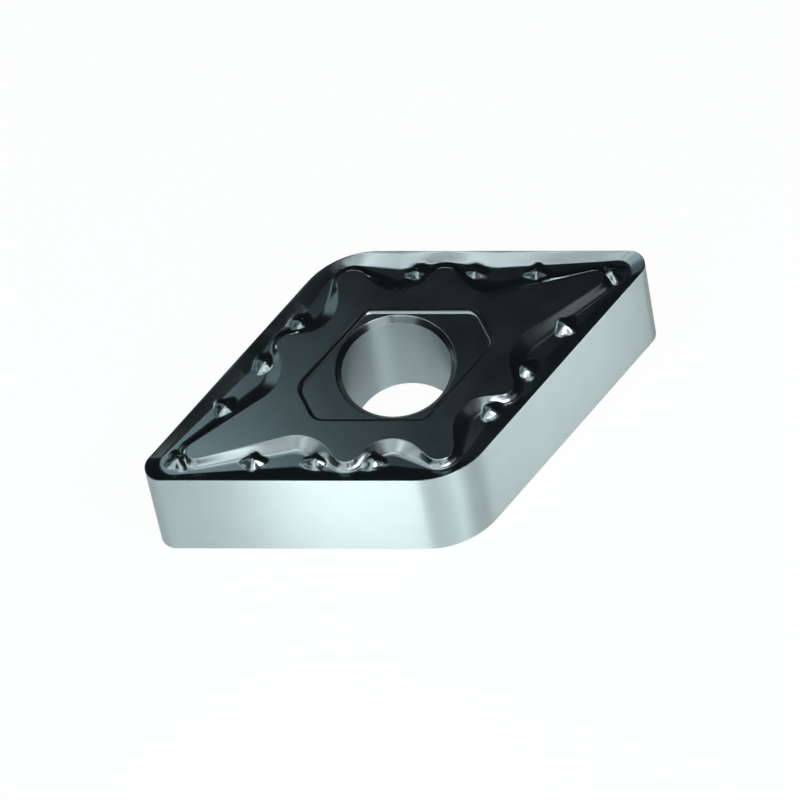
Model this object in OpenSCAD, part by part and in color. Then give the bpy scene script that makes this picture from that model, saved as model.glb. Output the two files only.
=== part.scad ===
// Double-sided 55 degree turning insert of cemented carbide, with a pressed chip breaker.
// The origin is on the bore's axis, in the lower seating face.
// X runs along a cutting edge and Z along the bore.

/* [Blank] */
// Diameter of the circle that touches all four cutting edges
inscribed_d = 12.7; // [11.5:0.1:15]
// Angle between the two edges that meet at a cutting corner
corner_angle = 55; // [52:0.5:58]
// Thickness over the two seating faces
thickness = 6.35; // [4.7:0.05:8]
// Radius of the two cutting corners
corner_r = 0.8; // [0.6:0.05:1.1]
// Radius of the two blunt corners
blunt_r = 4; // [3:0.1:5]

/* [Bore] */
// Diameter of the bore for the clamping screw
bore_d = 5.16; // [4:0.02:5.4]
// Width and depth of the chamfer at each end of the bore
bore_chamfer = 0.28; // [0.1:0.02:0.32]

/* [Centre pocket] */
// Distance from the bore's axis to the four long sides of the pocket
pocket_side = 3.15; // [3.05:0.01:3.4]
// Distance from the bore's axis to the two sides that face the cutting corners
pocket_end = 4.63; // [4.2:0.05:5.2]
// Radius in plan of the pocket's corners
pocket_corner_r = 0.8; // [0.4:0.05:1.2]
// Depth of the pocket under the seating face
pocket_depth = 0.2; // [0.1:0.01:0.3]
// Run in plan of the pocket's sloping wall
pocket_wall = 0.2; // [0.05:0.01:0.25]

/* [Chip groove] */
// Height of the seating face above the cutting edges
edge_drop = 0.09; // [0.05:0.01:0.2]
// Depth of the groove's floor under the cutting edges
groove_depth = 0.2; // [0.1:0.01:0.3]
// Width of the rake slope at the cutting corner
rake_corner = 0.42; // [0.3:0.01:0.5]
// Radius of the rake slope's foot at the cutting corner
rake_corner_r = 0.64; // [0.4:0.02:0.8]
// Width of the rake slope beside the first hollow
rake_hollow_1 = 0.85; // [0.7:0.01:1]
// Width of the rake slope in front of the tooth
rake_tooth = 0.5; // [0.35:0.01:0.6]
// Width of the rake slope beside the second hollow
rake_hollow_2 = 0.92; // [0.75:0.01:1.05]
// Width of the rake slope in front of the blunt corner's finger
rake_finger = 0.68; // [0.5:0.01:0.75]

/* [Wave of the seating face] */
// Distance along the edge between the finger, the second hollow and the tooth
wave_pitch = 2.18; // [2.05:0.01:2.3]
// Distance along the edge between the tooth and the first hollow
first_hollow_gap = 2.38; // [2.25:0.01:2.6]
// Distance from the cutting edge to the face's nose
nose_in = 1.145; // [1:0.01:1.3]
// Radius of the face's nose
nose_r = 0.47; // [0.3:0.01:0.6]
// Distance from the cutting edge to the bottom of the first hollow
hollow_1_in = 2.45; // [2.3:0.01:2.6]
// Radius of the first hollow
hollow_1_r = 1.89; // [1.7:0.01:2]
// Distance from the cutting edge to the tooth between the hollows
tooth_in = 0.98; // [0.85:0.01:1.1]
// Radius of the tooth
tooth_r = 0.66; // [0.5:0.01:0.75]
// Distance from the cutting edge to the bottom of the second hollow
hollow_2_in = 2.26; // [2.1:0.01:2.4]
// Radius of the second hollow
hollow_2_r = 1.7; // [1.5:0.01:1.8]
// Distance from the cutting edge to the finger that points at the blunt corner
finger_in = 1.13; // [1:0.01:1.3]
// Radius of the finger
finger_r = 0.74; // [0.6:0.01:0.85]

/* [Wall of the wave] */
// Run of the wall at the nose
wall_nose = 0.45; // [0.35:0.01:0.55]
// Run of the wall at the first hollow
wall_hollow_1 = 0.86; // [0.7:0.01:1]
// Run of the wall at the tooth
wall_tooth = 0.45; // [0.35:0.01:0.55]
// Run of the wall at the second hollow
wall_hollow_2 = 0.79; // [0.65:0.01:0.9]
// Run of the wall at the finger
wall_finger = 0.42; // [0.35:0.01:0.5]
// Run of the rounded foot of the wall
wall_foot = 0.33; // [0.1:0.01:0.34]

/* [Bumps] */
// Distance from the cutting edge to the middle of each bump
bump_in = 1.19; // [1:0.01:1.4]
// Distance along the edge from the sharp corner to the lone bump
bump_lone = 5.83; // [5:0.05:6.5]
// Distance along the edge from the tooth to the bump before it
bump_before = 1.4; // [1.2:0.01:1.6]
// Distance along the edge from the tooth to the bump after it
bump_after = 1.3; // [1.15:0.01:1.5]
// Mean radius of a bump at the groove's floor
bump_r = 0.56; // [0.4:0.01:0.65]
// Height of a bump above the groove's floor
bump_h = 0.2; // [0.1:0.01:0.28]
// Share of its radius by which a bump's four lobes stand out
bump_lobe = 0.12; // [0:0.01:0.2]

/* [Hidden] */
carbide = "#23282b";
// Facets of every turned face
turned_fn = 96;
// How far a cutting solid runs past the face that it cuts
over = 0.5;
// How far the wall's slope runs on above the seating face in the groove's cutting solid
wall_rise = 0.1;
// How far the flanks lie inside the tangents of their corners, for a clean line between them
flank_relief = 0.001;
// Steps of the nose, first hollow, tooth, second hollow and finger in each quarter
arc_steps = [7, 9, 9, 9, 6];
// Steps of the straight runs between them
line_steps = [5, 1, 1, 1];
// Rows up the rounded foot of the wall
foot_rows = 2;
// Sides of a bump, and the shares of its radius that its rings stand at, from its root up
bump_sides = 24;
bump_shares = [1.2, 0.95, 0.7, 0.38];
// Least floor left between the rake slope and the wall
floor_min = 0.02;

half_angle = corner_angle / 2;
edge_in = inscribed_d / 2;
edge_len = inscribed_d / sin(corner_angle);
// Half the length of the long diagonal, to the sharp corners
long_half = edge_in / sin(half_angle);
// The front edge starts at this sharp corner, left of the origin
corner_x = -long_half * cos(half_angle);
edge_z = thickness / 2 - edge_drop;
floor_z = edge_z - groove_depth;
seat_z = thickness / 2;

// A place given by its distance along the front edge and its distance in from it
function place(along, in) = [corner_x + along, -edge_in + in];
function turn(a) = [cos(a), sin(a)];
function mix(a, b, t) = a + (b - a) * t;
// Places on the long and the short diagonal at a distance in from the front edge
function on_long(in) = place(in / tan(half_angle), in);
function on_short(in) = place(edge_len - in * tan(half_angle), in);
// A point's mirror image in the line through the bore's axis at angle a
function flip(p, a) =
    let (d = turn(a), q = [p[0], p[1]], r = 2 * (q * d) * d - q) [r[0], r[1], p[2]];
// Its image half a turn round the bore's axis
function spin(p) = [-p[0], -p[1], p[2]];

// The five circles that the wave runs round. Side 1 is a circle inside the face,
// and side -1 is a hollow's, with its middle outside the face.
sides = [1, -1, 1, -1, 1];
finger_mid = on_short(finger_in + finger_r);
hollow_2_x = finger_mid[0] - wave_pitch;
tooth_x = hollow_2_x - wave_pitch;
hollow_1_x = tooth_x - first_hollow_gap;
wave_mids = [
    on_long(nose_in + nose_r),
    [hollow_1_x, -edge_in + hollow_1_in - hollow_1_r],
    [tooth_x, -edge_in + tooth_in + tooth_r],
    [hollow_2_x, -edge_in + hollow_2_in - hollow_2_r],
    finger_mid,
];
wave_radii = [nose_r, hollow_1_r, tooth_r, hollow_2_r, finger_r];
wall_runs = [wall_nose, wall_hollow_1, wall_tooth, wall_hollow_2, wall_finger];

// The foot of the rake slope runs round the same middles, apart from the nose's
rake_mids = [for (i = [0 : 4]) i == 0 ? on_long(rake_corner + rake_corner_r) : wave_mids[i]];
rake_runs = [
    rake_corner,
    rake_hollow_1,
    min(rake_tooth, tooth_in - wall_tooth - floor_min),
    rake_hollow_2,
    min(rake_finger, finger_in - wall_finger - floor_min),
];
rake_radii = [for (i = [0 : 4]) abs(rake_mids[i][1] + edge_in - rake_runs[i])];

// Heading of the line that touches circles a and b, of radii ra and rb, each on its own side
function heading(a, ra, sa, b, rb, sb) =
    atan2(b[1] - a[1], b[0] - a[0])
        + asin(max(-1, min(1, (sa * ra - sb * rb) / norm(b - a))));

// A quarter of a loop, from the long diagonal to the short one, round the five circles.
// Each circle has a middle, a radius and a height.
function quarter(mids, radii, heights) =
    let (
        bearings = [
            half_angle - 90,
            for (i = [0 : 3])
                heading(mids[i], radii[i], sides[i], mids[i + 1], radii[i + 1], sides[i + 1]),
            half_angle,
        ],
        on = function (i, a)
            let (p = mids[i] + sides[i] * radii[i] * turn(a - 90)) [p[0], p[1], heights[i]]
    ) [
        for (i = [0 : 4]) each [
            for (k = [0 : arc_steps[i]]) on(i, mix(bearings[i], bearings[i + 1], k / arc_steps[i])),
            if (i < 4) for (k = [1 : line_steps[i] - 1])
                mix(on(i, bearings[i + 1]), on(i + 1, bearings[i + 1]), k / line_steps[i])
        ]
    ];

// A closed loop from its quarter, through the face's two mirror planes
function loop(q) =
    let (
        half = concat(q, [for (i = [len(q) - 2 : -1 : 0]) flip(q[i], half_angle - 90)])
    ) concat(half, [for (i = [1 : len(half) - 2]) spin(half[i])]);

corner_mid = on_long(corner_r);
blunt_mid = on_short(blunt_r);

// Foot of the rake slope, and the point of the cutting edge across from station i of it
rake_foot = quarter(rake_mids, rake_radii, [for (r = rake_radii) floor_z]);
function edge_point(i) =
    let (
        p = [rake_foot[i][0], rake_foot[i][1]],
        share = i / arc_steps[0],
        out = p - blunt_mid,
        q = share <= 1 ? corner_mid + corner_r * turn(mix(half_angle + 180, 270, share))
            : p[0] < blunt_mid[0] ? [p[0], -edge_in]
            : blunt_mid + blunt_r * out / norm(out)
    ) [q[0], q[1], edge_z];
// The rake slope, run on past the cutting edge
rake_top = [
    for (i = [0 : len(rake_foot) - 1])
        let (rise = edge_point(i) - rake_foot[i]) edge_point(i) + rise * over / norm(rise)
];

// The wall's rounded foot at share t of its run
wall_h = seat_z - floor_z;
function wall_slope(i) = wall_h / (wall_runs[i] - wall_foot / 2);
function wall_foot_row(t) = quarter(
    wave_mids,
    [for (i = [0 : 4]) wave_radii[i] + sides[i] * (wall_runs[i] - wall_foot * t)],
    [for (i = [0 : 4]) floor_z + wall_slope(i) * wall_foot * t * t / 2]
);
wall_start = wall_foot_row(1);
seat_edge = quarter(wave_mids, wave_radii, [for (r = wave_radii) seat_z]);
// The wall's straight slope, run on past the seating face
wall_top = [
    for (i = [0 : len(seat_edge) - 1])
        mix(wall_start[i], seat_edge[i], 1 + wall_rise / (seat_z - wall_start[i][2]))
];

function at_height(points, z) = [for (p = points) [p[0], p[1], z]];

// Faces that join ring a of n points to ring b
function band(n, a, b) = [
    for (j = [0 : n - 1])
        let (k = (j + 1) % n)
        each [[a * n + j, b * n + k, b * n + j], [a * n + j, a * n + k, b * n + k]]
];

// What the chip groove takes out of the upper face, as a solid ring
module groove() {
    rings = [
        loop(rake_top),
        loop(rake_foot),
        for (r = [0 : foot_rows]) loop(wall_foot_row(r / foot_rows)),
        loop(wall_top),
        at_height(loop(rake_top), seat_z + over),
    ];
    n = len(rings[0]);
    m = len(rings);
    polyhedron(
        points = [for (r = rings) each r],
        faces = [for (i = [0 : m - 1]) each band(n, i, (i + 1) % m)],
        convexity = 10
    );
}

// A solid of rings stacked round a middle, the lowest first, closed by a fan at each end
module stack(mid, rings, tip_z) {
    n = len(rings[0]);
    m = len(rings);
    polyhedron(
        points = [
            for (r = rings) each r,
            [mid[0], mid[1], rings[0][0][2]],
            [mid[0], mid[1], tip_z],
        ],
        faces = [
            for (i = [0 : m - 2]) each band(n, i + 1, i),
            for (j = [0 : n - 1])
                let (k = (j + 1) % n, top = (m - 1) * n)
                each [[j, k, m * n], [top + k, top + j, m * n + 1]],
        ],
        convexity = 4
    );
}

// The pocket's outline in plan, its walls moved in by a distance
pocket_steps = 6;
pocket_sides = [
    [pocket_side, -90],
    [pocket_side, corner_angle - 90],
    [pocket_end, half_angle],
    [pocket_side, 90],
    [pocket_side, corner_angle + 90],
    [pocket_end, half_angle + 180],
];
function pocket_loop(inset, z) = [
    for (i = [0 : 5])
        let (
            a = pocket_sides[i],
            b = pocket_sides[(i + 1) % 6],
            r = max(pocket_corner_r - inset, 0.1),
            swing = (b[1] - a[1] + 720) % 360,
            da = a[0] - inset - r,
            db = b[0] - inset - r,
            mid = da * turn(a[1]) + (db - da * cos(swing)) / sin(swing) * turn(a[1] + 90)
        )
        for (k = [0 : pocket_steps])
            let (p = mid + r * turn(a[1] + swing * k / pocket_steps)) [p[0], p[1], z]
];
module pocket() {
    draft = pocket_wall / pocket_depth;
    stack(
        [0, 0],
        [pocket_loop(pocket_wall, seat_z - pocket_depth), pocket_loop(-over * draft, seat_z + over)],
        seat_z + over
    );
}

// A four-lobed bump on the groove's floor, its lobes along and across the given heading
module bump(mid, angle) {
    ring = function (share) [
        for (k = [0 : bump_sides - 1])
            let (
                a = 360 * k / bump_sides,
                r = bump_r * share * (1 + bump_lobe * cos(4 * a)),
                p = mid + r * turn(a + angle)
            )
            [p[0], p[1], floor_z + bump_h * (1 - share * share)]
    ];
    stack(mid, [for (share = bump_shares) ring(share)], floor_z + bump_h);
}
module bumps() {
    first = place(bump_lone, bump_in);
    before = [tooth_x - bump_before, bump_in - edge_in];
    after = [tooth_x + bump_after, bump_in - edge_in];
    for (side = [1, -1]) {
        bump(side * on_long(bump_in), half_angle);
        for (p = [first, before, after]) {
            q = flip(p, half_angle - 90);
            bump(side * p, 0);
            bump(side * [q[0], q[1]], corner_angle);
        }
    }
}

// The blank's outline: straight flanks between round corners
module outline() {
    low = -90;
    right = corner_angle - 90;
    half = [
        corner_mid + (corner_r - flank_relief) * turn(low),
        blunt_mid + (blunt_r - flank_relief) * turn(low),
        blunt_mid + (blunt_r - flank_relief) * turn(right),
        -corner_mid + (corner_r - flank_relief) * turn(right),
    ];
    polygon(concat(half, -half));
    for (side = [1, -1]) {
        translate(side * corner_mid) circle(r = corner_r, $fn = turned_fn);
        translate(side * blunt_mid) circle(r = blunt_r, $fn = turned_fn);
    }
}

module bore() {
    mouth_z = seat_z - pocket_depth;
    cylinder(h = 2 * thickness, d = bore_d, center = true, $fn = turned_fn);
    for (side = [0, 1]) mirror([0, 0, side])
        translate([0, 0, mouth_z - bore_chamfer])
            cylinder(
                h = bore_chamfer + over,
                r1 = bore_d / 2,
                r2 = bore_d / 2 + bore_chamfer + over,
                $fn = turned_fn
            );
}

module insert() {
    color(carbide) translate([0, 0, seat_z]) {
        difference() {
            linear_extrude(thickness, center = true) outline();
            for (side = [0, 1]) mirror([0, 0, side]) {
                groove();
                pocket();
            }
            bore();
        }
        for (side = [0, 1]) mirror([0, 0, side]) bumps();
    }
}

insert();
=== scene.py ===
# %% [markdown]
# A carbide turning insert, pressed, sintered, coated and ground
#
# The real object is one piece of cemented carbide. A press forms the blank with the wavy
# chip breaker on both faces, a furnace sinters it, and it gets a black, glossy coat. Then
# the flanks and the bore are ground bright. This lesson builds it as one closed skin, in
# millimetres from the middle of the bore, and turns it into metres at the end.

# %% Tools and frame
import math

import bmesh
import bpy
from mathutils import Matrix, Vector


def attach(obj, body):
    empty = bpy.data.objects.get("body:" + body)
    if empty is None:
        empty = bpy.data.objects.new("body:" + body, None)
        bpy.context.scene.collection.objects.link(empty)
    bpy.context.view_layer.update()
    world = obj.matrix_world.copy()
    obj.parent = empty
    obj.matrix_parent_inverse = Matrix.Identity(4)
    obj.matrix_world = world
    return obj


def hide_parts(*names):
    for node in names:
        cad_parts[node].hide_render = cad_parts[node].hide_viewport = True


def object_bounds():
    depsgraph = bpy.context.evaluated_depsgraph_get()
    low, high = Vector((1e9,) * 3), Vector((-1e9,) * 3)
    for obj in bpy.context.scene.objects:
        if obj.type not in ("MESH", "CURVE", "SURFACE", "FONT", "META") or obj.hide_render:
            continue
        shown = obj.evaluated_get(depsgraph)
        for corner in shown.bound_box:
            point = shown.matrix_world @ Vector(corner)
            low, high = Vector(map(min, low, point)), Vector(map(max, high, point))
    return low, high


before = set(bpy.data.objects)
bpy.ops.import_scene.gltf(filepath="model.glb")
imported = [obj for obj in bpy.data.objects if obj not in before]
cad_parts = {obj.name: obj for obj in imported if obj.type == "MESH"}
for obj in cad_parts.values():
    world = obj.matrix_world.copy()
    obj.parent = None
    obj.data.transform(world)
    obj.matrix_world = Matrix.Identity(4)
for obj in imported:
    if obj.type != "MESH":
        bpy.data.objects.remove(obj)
cad_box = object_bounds()
print("CAD nodes", list(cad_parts))
print("CAD box in millimetres", [round(v * 1000, 3) for corner in cad_box for v in corner])

# %% [markdown]
# The plan of the insert
#
# The plan is a rhombus, so every place is given from its front cutting edge or from one of
# its two diagonals, and the rest follows by mirroring. The width and the thickness come
# from the CAD model's box. The other sizes are those of the CAD model too, and a few of
# them are refined here by up to a tenth of a millimetre.

# %% Sizes in millimetres
MM = 0.001
CORNER_ANGLE = math.radians(55)
HALF_ANGLE = CORNER_ANGLE / 2
LONG_WAY, SHORT_WAY = HALF_ANGLE, HALF_ANGLE - math.pi / 2  # the two diagonals
EDGE_IN = round(cad_box[1][1] / MM, 3)  # from the bore's axis to each cutting edge
SEAT_Z = round(cad_box[1][2] / MM / 2, 4)  # from the middle plane to the seating face
EDGE_DROP, GROOVE_DEPTH = 0.06, 0.2  # seating face to edge, and edge to groove's floor
EDGE_Z = SEAT_Z - EDGE_DROP
FLOOR_Z = EDGE_Z - GROOVE_DEPTH
EDGE_LENGTH = 2 * EDGE_IN / math.sin(CORNER_ANGLE)
CORNER_X = -EDGE_IN / math.tan(HALF_ANGLE)


def turn(angle):
    return Vector((math.cos(angle), math.sin(angle)))


def on_long(inward):
    """A point of the long diagonal, at a distance in from the front edge."""
    return Vector((CORNER_X + inward / math.tan(HALF_ANGLE), inward - EDGE_IN))


def on_short(inward):
    """A point of the short diagonal, at a distance in from the front edge."""
    return Vector((CORNER_X + EDGE_LENGTH - inward * math.tan(HALF_ANGLE), inward - EDGE_IN))


def flip(p, angle):
    """A point's mirror image in the line through the bore's axis at an angle."""
    d = turn(angle)
    return 2 * p.dot(d) * d - p


print("edges", EDGE_IN, "mm from the axis and", round(EDGE_LENGTH, 2), "mm long")

# %% [markdown]
# The wave of the chip breaker
#
# Every contour of the chip breaker runs round the same five circles between the long and
# the short diagonal: the nose, a first hollow, a tooth, a second hollow and the finger
# that points at the blunt corner. A contour could be drawn as a free curve, but tangent
# circles give the clean, even sweep that a pressed tool has. The tuples below hold one
# value for each circle, in that order.

# %% The five circles
SIDES = (1, -1, 1, -1, 1)  # 1 where the contour bends round the face, -1 round a hollow
FACE_IN = (1.145, 2.45, 0.98, 2.26, 1.13)  # from the edge in to the seating face
WAVE_RADII = (0.47, 1.89, 0.66, 1.7, 0.74)
WALL_RUNS = (0.45, 0.86, 0.45, 0.79, 0.42)
RAKE_RUNS = (0.42, 0.85, 0.5, 0.92, 0.68)
WAVE_PITCH, FIRST_GAP = 2.18, 2.38  # finger to hollow to tooth, and tooth to first hollow
RAKE_CORNER_R = 0.64

mids_in = [reach + side * r for reach, side, r in zip(FACE_IN, SIDES, WAVE_RADII)]
finger_mid = on_short(mids_in[4])
hollow_2_x = finger_mid.x - WAVE_PITCH
tooth_x = hollow_2_x - WAVE_PITCH
wave_mids = [on_long(mids_in[0])]
for x, mid_in in zip((tooth_x - FIRST_GAP, tooth_x, hollow_2_x), mids_in[1:4]):
    wave_mids.append(Vector((x, mid_in - EDGE_IN)))
wave_mids.append(finger_mid)
rake_mids = [on_long(RAKE_RUNS[0] + RAKE_CORNER_R)] + wave_mids[1:]
rake_radii = [abs(mid.y + EDGE_IN - run) for mid, run in zip(rake_mids, RAKE_RUNS)]
foot_radii = [r + side * run for r, side, run in zip(WAVE_RADII, SIDES, WALL_RUNS)]
print("radii at the rake's foot", [round(r, 3) for r in rake_radii])
print("radii at the wall's foot", [round(r, 3) for r in foot_radii])

# %% [markdown]
# A contour as a belt round the circles
#
# A belt round pulleys touches each one along a tangent line. The angle of that line
# follows from the two radii, with a sign for the side on which the belt runs. Stations
# are spread over the arcs and lines so that every contour gets the same number of them,
# and the contours can be joined station by station. The other three quarters are mirror
# images, so only one quarter is worked out.

# %% Contours
ARC_STEPS = (20, 32, 26, 34, 20)
LINE_STEPS = (54, 9, 8, 9)


def heading(a, b, bend_a, bend_b):
    """Direction of the line that touches two circles, whose radii have a sign."""
    tilt = (bend_a - bend_b) / (b - a).length
    return math.atan2(b.y - a.y, b.x - a.x) + math.asin(tilt)


def quarter(mids, radii):
    """Stations round the five circles, from the long diagonal to the short one."""
    bends = [side * r for side, r in zip(SIDES, radii)]
    bearings = [SHORT_WAY]
    for i in range(4):
        bearings.append(heading(mids[i], mids[i + 1], bends[i], bends[i + 1]))
    bearings.append(LONG_WAY)

    def on(i, angle):
        return mids[i] + bends[i] * turn(angle - math.pi / 2)

    points = []
    for i in range(5):
        start, end = bearings[i], bearings[i + 1]
        for k in range(ARC_STEPS[i] + 1):
            points.append(on(i, start + (end - start) * k / ARC_STEPS[i]))
        if i < 4:
            for k in range(1, LINE_STEPS[i]):
                points.append(on(i, end).lerp(on(i + 1, end), k / LINE_STEPS[i]))
    return points


def whole(points):
    """The closed contour that one quarter's stations belong to."""
    half = points + [flip(p, SHORT_WAY) for p in points[-2::-1]]
    return half + [-p for p in half[1:-1]]


rake_foot = quarter(rake_mids, rake_radii)
wall_foot = quarter(wave_mids, foot_radii)
seat_rim = quarter(wave_mids, WAVE_RADII)
print(len(seat_rim), "stations in a quarter,", len(whole(seat_rim)), "round the insert")

# %% [markdown]
# The cutting edge
#
# The edge is straight between a small arc at the cutting corner and a large one at the
# blunt corner. Its stations lie straight across from those of the rake's foot, so that
# the faces between the two contours stay square.

# %% Cutting edge
CORNER_R, BLUNT_R = 0.8, 4.0
corner_mid, blunt_mid = on_long(CORNER_R), on_short(BLUNT_R)


def edge_point(i, foot):
    """The point of the cutting edge that lies across from station i of the rake's foot."""
    share = i / ARC_STEPS[0]
    if share <= 1:
        start, end = LONG_WAY + math.pi, 1.5 * math.pi
        return corner_mid + CORNER_R * turn(start + (end - start) * share)
    if foot.x < blunt_mid.x:
        return Vector((foot.x, -EDGE_IN))
    return blunt_mid + BLUNT_R * (foot - blunt_mid).normalized()


edge = [edge_point(i, p) for i, p in enumerate(rake_foot)]
print("the edge starts at", [round(v, 2) for v in edge[0]])

# %% [markdown]
# Bumps
#
# Small bumps stand on the groove's floor, where they lift and bend the chip. Each one is
# a cone with a round tip and a foot of four lobes. It could be a mesh of its own that is
# joined on, but as a height that is added to the floor it stays part of the one skin. A
# smooth maximum of floor and bump leaves the small fillet at its foot.

# %% Bumps
BUMP_IN, BUMP_R, BUMP_H, BUMP_TIP = 1.19, 0.54, 0.255, 0.3
BUMP_LOBES, BUMP_LOBE, BUMP_FILLET = 4, 0.17, 0.03
BUMP_REACH = 1.5 * BUMP_R  # past this a bump is well under the floor
BUMP_LONE, BUMP_BEFORE, BUMP_AFTER = 5.83, 1.4, 1.3  # from the corner, and beside the tooth

bumps = [(on_long(BUMP_IN), LONG_WAY)]
for x in (CORNER_X + BUMP_LONE, tooth_x - BUMP_BEFORE, tooth_x + BUMP_AFTER):
    mid = Vector((x, BUMP_IN - EDGE_IN))
    bumps += [(mid, 0.0), (flip(mid, SHORT_WAY), CORNER_ANGLE)]
bumps += [(-mid, angle) for mid, angle in bumps]


def bump_z(p):
    """Height of the bumps' skin at a place, or minus infinity away from them."""
    top = -math.inf
    for mid, angle in bumps:
        away = p - mid
        if away.length < BUMP_REACH:
            swing = math.atan2(away.y, away.x) - angle
            share = away.length / (BUMP_R * (1 + BUMP_LOBE * math.cos(BUMP_LOBES * swing)))
            cone = (math.hypot(share, BUMP_TIP) - BUMP_TIP) / (math.hypot(1, BUMP_TIP) - BUMP_TIP)
            top = max(top, FLOOR_Z + BUMP_H * (1 - cone))
    return top


def with_bumps(p, z):
    """A height of the section at a place, raised where a bump stands there."""
    bump = bump_z(p)
    near = max(0, BUMP_FILLET - abs(bump - z))
    return max(bump, z) + near ** 2 / (4 * BUMP_FILLET)


print(len(bumps), "bumps on each face")

# %% [markdown]
# The section through the chip breaker
#
# At each station the section is a line with corners: down the rake slope, over the floor,
# up the wall and on to the seating face. A press leaves no sharp corner, so each one is
# eased by a short parabola, which keeps the slope continuous and makes the soft
# reflections of the real piece. The cutting edge itself has a small round hone.

# %% A line with eased corners
def eased(corners, d):
    """Height at a distance along a line with corners (distance, height, half width)."""
    last = len(corners) - 1
    i = next((k for k in range(last) if d <= corners[k + 1][0]), last - 1)
    (d0, z0, _), (d1, z1, _) = corners[i], corners[i + 1]
    z = z0 + (z1 - z0) * (d - d0) / (d1 - d0)
    for k in range(1, last):
        at, height, half = corners[k]
        if abs(d - at) < half:
            before = (height - corners[k - 1][1]) / (at - corners[k - 1][0])
            after = (corners[k + 1][1] - height) / (corners[k + 1][0] - at)
            z += (after - before) * (half - abs(d - at)) ** 2 / (4 * half)
    return z


def spread(start, end, count):
    """Even stops after the start, up to the end."""
    return [start + (end - start) * k / count for k in range(1, count + 1)]


step = ((0, 0, 0), (1, 0, 0.2), (2, 1, 0))
print("a corner of 45 degrees, eased", [round(eased(step, d), 3) for d in (0.8, 0.9, 1, 1.1, 1.2)])

# %% Hone of the cutting edge
HONE, HONE_STEPS = 0.035, 5
UNDER_HONE = (0.06, 0.02)  # rings close under the hone keep the flank's shading flat


def hone(e, inward, slope):
    """Places up the top of the flank and round the hone."""
    hone_z = EDGE_Z - math.tan(slope) * HONE - HONE / math.cos(slope)
    rows = [(e, hone_z - under) for under in UNDER_HONE]
    for k in range(HONE_STEPS + 1):
        a = (math.pi / 2 + slope) * k / HONE_STEPS
        rows.append((e + inward * HONE * (1 - math.cos(a)), hone_z + HONE * math.sin(a)))
    return rows


print("hone radius", HONE, "mm")

# %% Rows of the section
RAKE_EASE, RIM_EASE, WALL_FOOT = 0.05, 0.03, 0.3
PAST_RIM = 0.03  # a ring past the rim keeps the seating face's shading flat
RAKE_ROWS, EASE_ROWS, FLOOR_ROWS, FOOT_ROWS, WALL_ROWS, RIM_ROWS = 6, 2, 13, 6, 5, 5


def section(e, d, f, s):
    """Places up one station, past the edge, the rake's foot, the wall's foot and the rim."""
    rake, floor, wall = (d - e).length, (f - d).length, (s - f).length
    foot, rim = rake + floor, rake + floor + wall
    slope = math.atan2(EDGE_Z - FLOOR_Z, rake)
    corners = (
        (0, EDGE_Z, 0),
        (rake, FLOOR_Z, RAKE_EASE),
        (foot + WALL_FOOT / 2, FLOOR_Z, WALL_FOOT / 2),
        (rim, SEAT_Z, RIM_EASE),
        (rim + 1, SEAT_Z, 0),
    )
    stops = spread(HONE * (1 + math.sin(slope)), rake - RAKE_EASE, RAKE_ROWS)
    stops += spread(rake - RAKE_EASE, rake, EASE_ROWS)
    stops += spread(rake, foot, FLOOR_ROWS)
    stops += spread(foot, foot + WALL_FOOT, FOOT_ROWS)
    stops += spread(foot + WALL_FOOT, rim - RIM_EASE, WALL_ROWS)
    stops += spread(rim - RIM_EASE, rim + RIM_EASE, RIM_ROWS)
    stops.append(rim + RIM_EASE + PAST_RIM)
    rows = [(e, 0.0)] + hone(e, (d - e).normalized(), slope)
    for at in stops:
        if at <= rake:
            p = e.lerp(d, at / rake)
        elif at <= foot:
            p = d.lerp(f, (at - rake) / floor)
        else:
            p = f.lerp(s, (at - foot) / wall)
        rows.append((p, with_bumps(p, eased(corners, at))))
    return rows


sections = [section(*c) for c in zip(edge, rake_foot, wall_foot, seat_rim)]
print(len(sections[0]), "rings from the flank to the seating face")

# %% [markdown]
# Ring by ring
#
# The skin starts as a circle of edges, whose points are set on the flank at half height.
# bmesh's extrude makes each new ring and the faces that join it to the last one, and the
# new ring is then only moved to the next line of the section. A height map on a plane
# could do the same, but its grid would cut the contours into steps. Rings follow them.

# %% Ring helpers
COAT, FLANK, BORE = 0, 1, 2
bm = bmesh.new()


def first_ring(points):
    """A circle of edges with its vertices set on the points, in order."""
    made = bmesh.ops.create_circle(bm, cap_ends=False, radius=1, segments=len(points))
    for v, p in zip(made["verts"], points):
        v.co = Vector(p)
    return made["verts"]


def edges_of(ring):
    return [bm.edges.get((v, ring[(i + 1) % len(ring)])) for i, v in enumerate(ring)]


def next_ring(ring, points, finish):
    """Extrudes a closed ring of vertices and sets the copy on the points."""
    geom = bmesh.ops.extrude_edge_only(bm, edges=edges_of(ring))["geom"]
    fresh = {g for g in geom if isinstance(g, bmesh.types.BMVert)}
    copies = []
    for v, p in zip(ring, points):
        copy = next(e.other_vert(v) for e in v.link_edges if e.other_vert(v) in fresh)
        copy.co = Vector(p)
        copies.append(copy)
        for f in copy.link_faces:
            f.material_index = finish
    return copies


def fill_between(outer, inner, finish):
    """Fills the flat ground between two closed rings."""
    edges = edges_of(outer) + edges_of(inner)
    filled = bmesh.ops.triangle_fill(bm, edges=edges, use_beauty=True, normal=(0, 0, 1))
    for g in filled["geom"]:
        if isinstance(g, bmesh.types.BMFace):
            g.material_index = finish


# %% Flank, chip breaker and rim
GROUND_ROWS = 4  # the grinding wheel reaches just into the hone


def all_round(row):
    """A row of the quarter's sections, taken round the insert with its heights."""
    flat = whole([s[row][0] for s in sections])
    z = [s[row][1] for s in sections]
    z = z + z[-2::-1]
    z = z + z[1:-1]
    return [(p.x, p.y, h) for p, h in zip(flat, z)]


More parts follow.
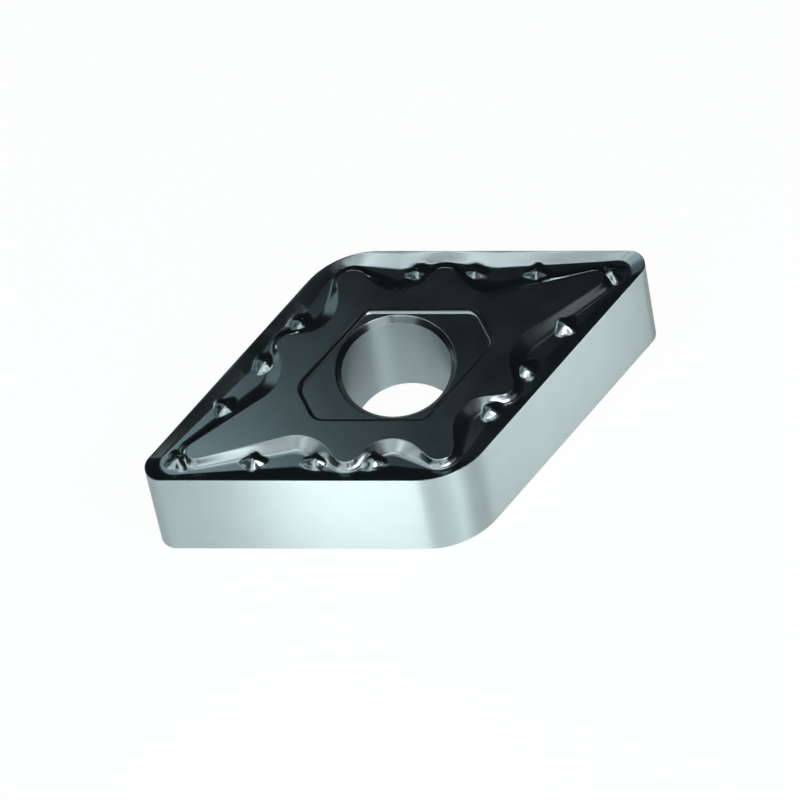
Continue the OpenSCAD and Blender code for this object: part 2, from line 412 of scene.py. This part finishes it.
rim_ring = first_ring(all_round(0))
for row in range(1, len(sections[0])):
    rim_ring = next_ring(rim_ring, all_round(row), FLANK if row <= GROUND_ROWS else COAT)
print(len(bm.faces), "faces up to the seating face")

# %% [markdown]
# The centre pocket
#
# A shallow pocket with six sides lies round the bore. The flat seating face is filled
# between the rim and the pocket's outline, and the outline then goes down and inwards as
# rings of its own. Its upper edge is crisp, so the shading isn't smoothed across it, and
# the foot of its wall is eased like the corners of the chip breaker.

# %% Centre pocket
POCKET_SIDE, POCKET_END, POCKET_CORNER_R = 3.12, 4.72, 0.8
POCKET_DEPTH, POCKET_WALL, POCKET_FOOT = 0.2, 0.12, 0.1
POCKET_STEPS, POCKET_ROWS = 14, 14
pocket_z = SEAT_Z - POCKET_DEPTH
pocket_sides = [(POCKET_SIDE, -90), (POCKET_SIDE, -35), (POCKET_END, 27.5)]
pocket_sides += [(side, angle + 180) for side, angle in pocket_sides]


def pocket_ring(inset, z):
    """The pocket's outline with its sides moved in by a distance."""
    points = []
    for i in range(6):
        (side_a, a), (side_b, b) = pocket_sides[i], pocket_sides[(i + 1) % 6]
        r = POCKET_CORNER_R - inset
        swing, a = math.radians((b - a) % 360), math.radians(a)
        da, db = side_a - inset - r, side_b - inset - r
        along = (db - da * math.cos(swing)) / math.sin(swing)
        mid = da * turn(a) + along * turn(a + math.pi / 2)
        for k in range(POCKET_STEPS + 1):
            p = mid + r * turn(a + swing * k / POCKET_STEPS)
            points.append((p.x, p.y, z))
    return points


pocket_corners = (
    (-1, SEAT_Z, 0), (0, SEAT_Z, 0),
    (POCKET_WALL, pocket_z, POCKET_FOOT), (POCKET_WALL + 1, pocket_z, 0),
)
BEFORE_WALL, WALL_START, PAST_FOOT = -0.03, 0.01, 0.02  # rings that keep the flats flat
foot_end = POCKET_WALL + POCKET_FOOT
inner = first_ring(pocket_ring(BEFORE_WALL, SEAT_Z))
fill_between(rim_ring, inner, COAT)
stops = [0, WALL_START] + spread(WALL_START, foot_end, POCKET_ROWS) + [foot_end + PAST_FOOT]
for stop in stops:
    inner = next_ring(inner, pocket_ring(stop, eased(pocket_corners, stop)), COAT)
    if stop == 0:
        for e in edges_of(inner):
            e.smooth = False
print(len(stops), "rings down the pocket's wall")

# %% [markdown]
# The bore
#
# A chamfer leads from the pocket's floor into the bore, and a small arc rounds the corner
# between them. The coat ends on that arc, where the grinding of the bore starts. The bore
# is the last piece of the upper half, and it ends open at half height.

# %% Chamfer and bore
BORE_R, CHAMFER, BORE_STEPS = 2.58, 0.27, 160
BORE_EASE, BORE_ARC, ARC_ROWS, COATED_ROWS = 0.015, 0.06, 6, 2
BEFORE_CHAMFER, CHAMFER_START, CHAMFER_ROWS = 0.05, -0.03, 4
CHAMFER_STOPS = [0.1, 0.17, 0.23]
UNDER_ARC = 0.12


def bore_ring(radius, z):
    angles = (2 * math.pi * k / BORE_STEPS for k in range(BORE_STEPS))
    return [(radius * math.cos(a), radius * math.sin(a), z) for a in angles]


bore_corners = (
    (-1, pocket_z, 0), (0, pocket_z, BORE_EASE), (CHAMFER, pocket_z - CHAMFER, 0),
)
mouth_r = BORE_R + CHAMFER
mouth = first_ring(bore_ring(mouth_r + BEFORE_CHAMFER, pocket_z))
fill_between(inner, mouth, COAT)
for inset in spread(CHAMFER_START, BORE_EASE, CHAMFER_ROWS) + CHAMFER_STOPS:
    mouth = next_ring(mouth, bore_ring(mouth_r - inset, eased(bore_corners, inset)), COAT)
arc_z = pocket_z - CHAMFER - (math.sqrt(2) - 1) * BORE_ARC
for k in range(ARC_ROWS + 1):
    a = math.radians(135 + 45 * k / ARC_ROWS)
    radius, z = BORE_R + BORE_ARC * (1 + math.cos(a)), arc_z + BORE_ARC * math.sin(a)
    mouth = next_ring(mouth, bore_ring(radius, z), COAT if k < COATED_ROWS else BORE)
for z in (pocket_z - CHAMFER - UNDER_ARC, 0):
    mouth = next_ring(mouth, bore_ring(BORE_R, z), BORE)
print(len(bm.faces), "faces in the upper half")

# %% [markdown]
# Both halves
#
# The insert is double-sided, so that it can be turned over when its upper edges are worn.
# A mirror in the middle plane gives the lower half, and the two are merged where they
# meet. Both could be built from rings, but a mirror makes them exactly alike. The mirror
# turns the lower half inside out, so the normals are worked out again. The finished skin
# is a hair smaller than the CAD model, so that rounding doesn't take it past that box.

# %% Both halves in metres
MIRROR_MERGE, MERGE = 1e-4, 1e-5  # in millimetres
WITHIN = 0.99999
half = bm.verts[:] + bm.edges[:] + bm.faces[:]
bmesh.ops.mirror(bm, geom=half, matrix=Matrix.Identity(4), merge_dist=MIRROR_MERGE, axis="Z")
bmesh.ops.remove_doubles(bm, verts=bm.verts, dist=MERGE)
bmesh.ops.recalc_face_normals(bm, faces=bm.faces)
bmesh.ops.translate(bm, verts=bm.verts, vec=(0, 0, SEAT_Z))
bmesh.ops.scale(bm, verts=bm.verts, vec=[MM * WITHIN] * 3)
for f in bm.faces:
    f.smooth = True
open_edges = sum(not e.is_manifold for e in bm.edges)
cubic_mm = bm.calc_volume(signed=True) / MM ** 3
print(len(bm.faces), "faces,", open_edges, "open edges,", round(cubic_mm, 1), "cubic mm")

mesh = bpy.data.meshes.new("carbide_insert")
bm.to_mesh(mesh)
bm.free()
insert = bpy.data.objects.new("carbide_insert", mesh)
bpy.context.scene.collection.objects.link(insert)
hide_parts("insert")
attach(insert, "root")

# %% [markdown]
# A painted value along the edges
#
# The coat is rubbed thin along the cutting edges, so its material has to know where they
# are. Each vertex gets a value that is 1 on the edge and fades to 0 a short way in. It is
# worked out from the distance to the flanks, which is simpler than painting it by hand.

# %% Edge value
WORN = 0.08
edge_value = mesh.attributes.new("edge", "FLOAT", "POINT")
for v in mesh.vertices:
    p = v.co / MM
    across = max(abs(p.y), abs(p.x * math.sin(CORNER_ANGLE) - p.y * math.cos(CORNER_ANGLE)))
    edge_value.data[v.index].value = max(0, min(1, 1 - (EDGE_IN - across) / WORN))
print(sum(d.value > 0 for d in edge_value.data), "vertices lie near an edge")

# %% [markdown]
# Grain and wear as node groups
#
# All three finishes have a grain, so it is a node group with its own inputs. It is a noise
# in the insert's own coordinates. Stretched sideways it becomes the fine lines that a
# grinding wheel leaves round the flanks and in the bore, and unstretched it is the fine
# texture of the coated faces. An image could show the same, but a noise has no seams and
# no limit of size. The wear is a group too. It takes the painted value and roughens its
# border with the grain, and gives a mask.

# %% Node helpers
def node_group(name, inputs, outputs):
    """An empty group with number sockets, and its input and output nodes."""
    tree = bpy.data.node_groups.new(name, "ShaderNodeTree")
    for label, value in inputs.items():
        socket = tree.interface.new_socket(label, in_out="INPUT", socket_type="NodeSocketFloat")
        socket.default_value = value
    for label in outputs:
        tree.interface.new_socket(label, in_out="OUTPUT", socket_type="NodeSocketFloat")
    return tree, tree.nodes.new("NodeGroupInput"), tree.nodes.new("NodeGroupOutput")


def node(tree, kind, **settings):
    made = tree.nodes.new(kind)
    for name, value in settings.items():
        setattr(made, name, value)
    return made


def math_node(tree, operation, a, b, clamp=False):
    """The result of a sum whose terms are numbers or other nodes' outputs."""
    made = node(tree, "ShaderNodeMath", operation=operation, use_clamp=clamp)
    for socket, value in zip(made.inputs, (a, b)):
        if isinstance(value, (int, float)):
            socket.default_value = value
        else:
            tree.links.new(value, socket)
    return made.outputs[0]


# %% Grain
BLOTCHES_PER_METRE = 700.0
grain, inside, outside = node_group(
    "grain", {"Per Millimetre": 20.0, "Rise": 1.0, "Detail": 3.0}, ("Fine", "Broad")
)
own = node(grain, "ShaderNodeTexCoord")
per_metre = math_node(grain, "MULTIPLY", inside.outputs["Per Millimetre"], 1 / MM)
upwards = math_node(grain, "MULTIPLY", per_metre, inside.outputs["Rise"])
steps = node(grain, "ShaderNodeCombineXYZ")
for socket, value in zip(steps.inputs, (per_metre, per_metre, upwards)):
    grain.links.new(value, socket)
scaled = node(grain, "ShaderNodeVectorMath", operation="MULTIPLY")
grain.links.new(own.outputs["Object"], scaled.inputs[0])
grain.links.new(steps.outputs[0], scaled.inputs[1])
fine, broad = node(grain, "ShaderNodeTexNoise"), node(grain, "ShaderNodeTexNoise")
fine.inputs["Scale"].default_value = 1.0
broad.inputs["Scale"].default_value = BLOTCHES_PER_METRE
grain.links.new(scaled.outputs[0], fine.inputs["Vector"])
grain.links.new(inside.outputs["Detail"], fine.inputs["Detail"])
grain.links.new(own.outputs["Object"], broad.inputs["Vector"])
grain.links.new(fine.outputs["Fac"], outside.inputs["Fine"])
grain.links.new(broad.outputs["Fac"], outside.inputs["Broad"])
print("group", grain.name, "with", len(grain.nodes), "nodes")

# %% Edge wear
BORDER = 5.0  # how sharply the worn edge ends
wear, inside, outside = node_group(
    "edge_wear", {"Edge": 0.0, "Grain": 0.5, "Ragged": 0.4, "Reach": 0.5}, ("Mask",)
)
uneven = math_node(wear, "SUBTRACT", inside.outputs["Grain"], 0.5)
ragged = math_node(wear, "MULTIPLY", uneven, inside.outputs["Ragged"])
shifted = math_node(wear, "ADD", inside.outputs["Edge"], ragged)
above = math_node(wear, "SUBTRACT", shifted, inside.outputs["Reach"])
mask = math_node(wear, "MULTIPLY", above, BORDER, clamp=True)
wear.links.new(mask, outside.inputs["Mask"])
print("group", wear.name, "with", len(wear.nodes), "nodes")

# %% [markdown]
# The black coat
#
# The two faces have a thin, hard, black coat. It behaves like glass of a high index over
# black, so it shows the lamps sharply and nothing else, and it is slightly mottled. Along
# the cutting edge it is rubbed thin, and bare metal shows. Black paint with a clear coat
# could look much the same, but a single layer of a high index is brighter, like the real
# ceramic.

# %% Material helpers
NOISE_LOW, NOISE_HIGH = 0.3, 0.7  # where most of a noise lies
RELIEF = 0.01 * MM


def placed(tree, group, **values):
    """A group's node in a material, with values of its own."""
    made = node(tree, "ShaderNodeGroup", node_tree=group)
    for label, value in values.items():
        made.inputs[label.replace("_", " ")].default_value = value
    return made


def between(tree, factor, low, high):
    """A value that a noise moves between two ends."""
    made = node(tree, "ShaderNodeMapRange")
    ends = {"From Min": NOISE_LOW, "From Max": NOISE_HIGH, "To Min": low, "To Max": high}
    for label, value in ends.items():
        made.inputs[label].default_value = value
    tree.links.new(factor, made.inputs["Value"])
    return made.outputs[0]


def blend(tree, factor, a, b):
    """A colour that the factor moves from one colour to another."""
    made = node(tree, "ShaderNodeMix", data_type="RGBA")
    tree.links.new(factor, made.inputs[0])
    colours_in = made.inputs[6:8]
    for socket, value in zip(colours_in, (a, b)):
        if isinstance(value, tuple):
            socket.default_value = (*value, 1)
        else:
            tree.links.new(value, socket)
    return made.outputs[2]


def material_on(target, name):
    mat = bpy.data.materials.new(name)
    mat.use_nodes = True
    target.materials.append(mat)
    return mat.node_tree


def relief(tree, shader, height, strength):
    bump = node(tree, "ShaderNodeBump")
    bump.inputs["Strength"].default_value = strength
    bump.inputs["Distance"].default_value = RELIEF
    tree.links.new(height, bump.inputs["Height"])
    tree.links.new(bump.outputs[0], shader.inputs["Normal"])


print("relief", RELIEF / MM, "mm deep")

# %% Black coat
COAT_DEEP, COAT_PALE = (0.0008, 0.0012, 0.0014), (0.0022, 0.003, 0.0033)
BARE_EDGE = (0.3, 0.32, 0.32)
tree = material_on(mesh, "black_coat")
shader = tree.nodes["Principled BSDF"]
texture = placed(tree, grain, Per_Millimetre=22, Detail=2)
near_edge = node(tree, "ShaderNodeAttribute", attribute_name="edge")
rub = placed(tree, wear, Ragged=0.7, Reach=0.55)
tree.links.new(near_edge.outputs["Fac"], rub.inputs["Edge"])
tree.links.new(texture.outputs["Fine"], rub.inputs["Grain"])
coat = blend(tree, texture.outputs["Broad"], COAT_DEEP, COAT_PALE)
tree.links.new(blend(tree, rub.outputs["Mask"], coat, BARE_EDGE), shader.inputs["Base Color"])
tree.links.new(rub.outputs["Mask"], shader.inputs["Metallic"])
tree.links.new(between(tree, texture.outputs["Broad"], 0.17, 0.2), shader.inputs["Roughness"])
shader.inputs["IOR"].default_value = 2.5
relief(tree, shader, texture.outputs["Fine"], strength=0.04)
print("finish", mesh.materials[COAT].name)

# %% [markdown]
# Ground carbide
#
# The flanks and the bore are bare carbide, a grey metal. Its grinding lines run round the
# insert, so reflections are drawn out upwards. An anisotropic shader does that, with its
# tangent along the insert's axis. A brushed pattern on a plain shader would show the
# lines, but its reflections would be round. The bore's tone is a little more even than
# that of the flanks, because a grinding pin leaves finer lines than a wheel.

# %% Ground flanks and bore
FINE_SHARE, BROAD_SHARE = 0.6, 0.4


def ground(name, dark, bright, roughness):
    """Bare carbide with grinding lines that run round the insert."""
    tree = material_on(mesh, name)
    shader = tree.nodes["Principled BSDF"]
    lines = placed(tree, grain, Per_Millimetre=0.35, Rise=90, Detail=3)
    fine = math_node(tree, "MULTIPLY", lines.outputs["Fine"], FINE_SHARE)
    broad = math_node(tree, "MULTIPLY", lines.outputs["Broad"], BROAD_SHARE)
    tone = math_node(tree, "ADD", fine, broad)
    tree.links.new(blend(tree, tone, dark, bright), shader.inputs["Base Color"])
    dullness = between(tree, lines.outputs["Fine"], *roughness)
    tree.links.new(dullness, shader.inputs["Roughness"])
    shader.inputs["Metallic"].default_value = 1
    shader.inputs["Anisotropic"].default_value = 0.95
    axis = node(tree, "ShaderNodeVectorTransform", vector_type="VECTOR")
    axis.convert_from, axis.convert_to = "OBJECT", "WORLD"
    axis.inputs[0].default_value = (0, 0, 1)
    tree.links.new(axis.outputs[0], shader.inputs["Tangent"])
    relief(tree, shader, lines.outputs["Fine"], strength=0.08)


ground("ground_flank", (0.44, 0.48, 0.485), (0.56, 0.59, 0.59), roughness=(0.39, 0.45))
ground("ground_bore", (0.46, 0.5, 0.51), (0.54, 0.58, 0.585), roughness=(0.38, 0.44))
print("finishes", mesh.materials[FLANK].name, "and", mesh.materials[BORE].name)

# %% [markdown]
# The camera
#
# The photograph looks down on the front corner from a good distance, with hardly any
# vanishing of parallel lines. The camera's place and turn were fitted to the corners of
# the insert, so they are written as numbers. A camera that is only aimed at the middle
# would miss the small shift of the picture's centre.

# %% Camera
CAMERA_PLACE = Vector((53.98138, -222.22785, 366.3582)) * MM
CAMERA_TURN = [math.radians(a) for a in (31.6656, 6.1665, 3.8048)]
camera_data = bpy.data.cameras.new("camera")
camera_data.sensor_width, camera_data.lens = 36, 409.4405
camera_data.clip_start = 0.01
camera = bpy.data.objects.new("camera", camera_data)
camera.location, camera.rotation_euler = CAMERA_PLACE, CAMERA_TURN
bpy.context.scene.collection.objects.link(camera)
bpy.context.scene.camera = camera
print("camera", round(CAMERA_PLACE.length, 3), "m from the insert")

# %% [markdown]
# The floor
#
# The insert stands on a plain pale sheet. To the camera and in the ground faces the sheet
# is mostly its own white, and a small share of plain matt paint keeps the insert's soft
# shadow on it. The white could come from stronger lamps, but these would bleach the
# insert as well. The sheet lies a hair under the insert, so that the two flat faces
# don't flicker through each other in a view from below.

# %% Floor
FLOOR_HALF, FLOOR_DROP = 1.5, 0.02 * MM
PAINT = (0.85, 0.85, 0.85, 1)
GLOW_SHARE, MIRRORED_SHARE = 0.95, 0.36


def mix_into(tree, share, under, over, output):
    """Lays one shader over another by a share, and leads the mix to an output node."""
    mix = node(tree, "ShaderNodeMixShader")
    tree.links.new(share, mix.inputs[0])
    tree.links.new(under.outputs[0], mix.inputs[1])
    tree.links.new(over.outputs[0], mix.inputs[2])
    tree.links.new(mix.outputs[0], tree.nodes[output].inputs[0])


sheet = bmesh.new()
bmesh.ops.create_grid(sheet, x_segments=1, y_segments=1, size=FLOOR_HALF)
bmesh.ops.translate(sheet, verts=sheet.verts, vec=(0, 0, -FLOOR_DROP))
floor_mesh = bpy.data.meshes.new("floor")
sheet.to_mesh(floor_mesh)
sheet.free()
floor = bpy.data.objects.new("floor", floor_mesh)
bpy.context.scene.collection.objects.link(floor)

tree = material_on(floor_mesh, "pale_floor")
tree.nodes.remove(tree.nodes["Principled BSDF"])
paint, glow = node(tree, "ShaderNodeBsdfDiffuse"), node(tree, "ShaderNodeEmission")
paint.inputs["Color"].default_value = PAINT
glow.inputs["Strength"].default_value = 1
ray = node(tree, "ShaderNodeLightPath").outputs
mirrored = math_node(tree, "MULTIPLY", ray["Is Glossy Ray"], MIRRORED_SHARE)
shown = math_node(tree, "MAXIMUM", ray["Is Camera Ray"], mirrored)
mix_into(tree, math_node(tree, "MULTIPLY", shown, GLOW_SHARE), paint, glow, "Material Output")
print("floor", 2 * FLOOR_HALF, "m wide")

# %% [markdown]
# The room
#
# Beyond the floor the camera sees plain white. The insert itself sees only a dim room, so
# that its coat stays black. Light Path tells the two apart.

# %% Room
TEAL = (0.62, 0.92, 1)
ROOM_LIGHT = 0.026
world = bpy.data.worlds.new("studio")
world.use_nodes = True
bpy.context.scene.world = world
room = world.node_tree
dim, white = room.nodes["Background"], node(room, "ShaderNodeBackground")
dim.inputs["Color"].default_value = (*TEAL, 1)
dim.inputs["Strength"].default_value = ROOM_LIGHT
white.inputs["Color"].default_value = (1, 1, 1, 1)
ray = node(room, "ShaderNodeLightPath").outputs
mix_into(room, ray["Is Camera Ray"], dim, white, "World Output")
print("world", world.name)

# %% [markdown]
# The lamps
#
# A glossy black face shows nothing but its surroundings, so the surroundings are built
# like a studio set of soft boxes, each seen from the insert at its own polar angle and
# azimuth. One large lamp would leave the coat flat grey. The boxes over the front make
# the light walls and the bright lines at their feet, those overhead light the far rake,
# and the small ones by the tip give the seating face its slow fade. The last five are low
# strips that stay under the top of the insert and reach only the ground flanks.

# %% Soft boxes
COOL, PALE = (0.81, 0.98, 1), (0.88, 0.98, 0.97)


def softbox(name, polar, azimuth, distance, width, height, radiance, tint=COOL):
    """A soft box seen from the insert at a polar angle and an azimuth, facing the insert."""
    lamp = bpy.data.lights.new(name, "AREA")
    lamp.shape = "RECTANGLE"
    lamp.size, lamp.size_y = width, height
    lamp.energy = math.pi * width * height * radiance
    lamp.color = tint
    box = bpy.data.objects.new(name, lamp)
    bpy.context.scene.collection.objects.link(box)
    flat = math.sin(math.radians(polar)) * turn(math.radians(azimuth))
    way = Vector((flat.x, flat.y, math.cos(math.radians(polar))))
    box.location = way * distance
    box.rotation_euler = way.to_track_quat("Z", "Y").to_euler()
    box.visible_camera = False


# Name, polar angle and azimuth in degrees, distance, width and height in metres, radiance
BOXES = (
    ("front", 33.2, -111.2, 0.3, 0.194, 0.207, 2.4),
    ("front_slim", 32, -70, 0.3, 0.06, 0.17, 3.6),
    ("front_low", 57, -105.5, 0.3, 0.175, 0.074, 0.8),
    ("corner", 57, -64, 0.3, 0.16, 0.074, 2.2),
    ("bore", 31, -50, 0.06, 0.01, 0.02, 15),
    ("right", 36.2, -24.4, 0.3, 0.161, 0.161, 0.45),
    ("over", 8.6, 125.5, 0.3, 0.095, 0.052, 3.8),
    ("over_far", 17.7, 106.4, 0.3, 0.095, 0.052, 0.5, TEAL),
    ("gap", 7.2, -123.7, 0.3, 0.106, 0.063, 2.2),
    ("left", 32, -159.9, 0.3, 0.117, 0.106, 2),
    ("left_mid", 17, 180, 0.3, 0.128, 0.031, 2.6),
    ("left_back", 30.1, 164.6, 0.3, 0.084, 0.117, 0.5, TEAL),
    ("left_low", 51, 180, 0.3, 0.32, 0.116, 0.2, TEAL),
    ("back_left", 44.5, 144, 0.3, 0.119, 0.09, 0.4, TEAL),
    ("back_low", 61.5, 144, 0.3, 0.151, 0.09, 0.7, TEAL),
    ("tip", 24, 130, 0.09, 0.02, 0.02, 1.7, TEAL),
    ("tip_wide", 27, 128, 0.09, 0.03, 0.03, 0.3, TEAL),
    ("near_left", 85.5, 165, 0.06, 0.03, 0.005, 14),
    ("near_back", 85.5, 95, 0.06, 0.03, 0.005, 14),
    ("near_front", 85.5, -98, 0.028, 0.01, 0.005, 13, PALE),
    ("near_corner", 85.5, -54.5, 0.042, 0.006, 0.005, 9.5, PALE),
    ("near_right", 85.5, -13, 0.038, 0.014, 0.005, 9, PALE),
)
for box in BOXES:
    softbox(*box)
print(len(BOXES), "soft boxes")

# %% [markdown]
# Colours
#
# The Standard view shows each colour as it is written.

# %% View settings
bpy.context.scene.view_settings.view_transform = "Standard"
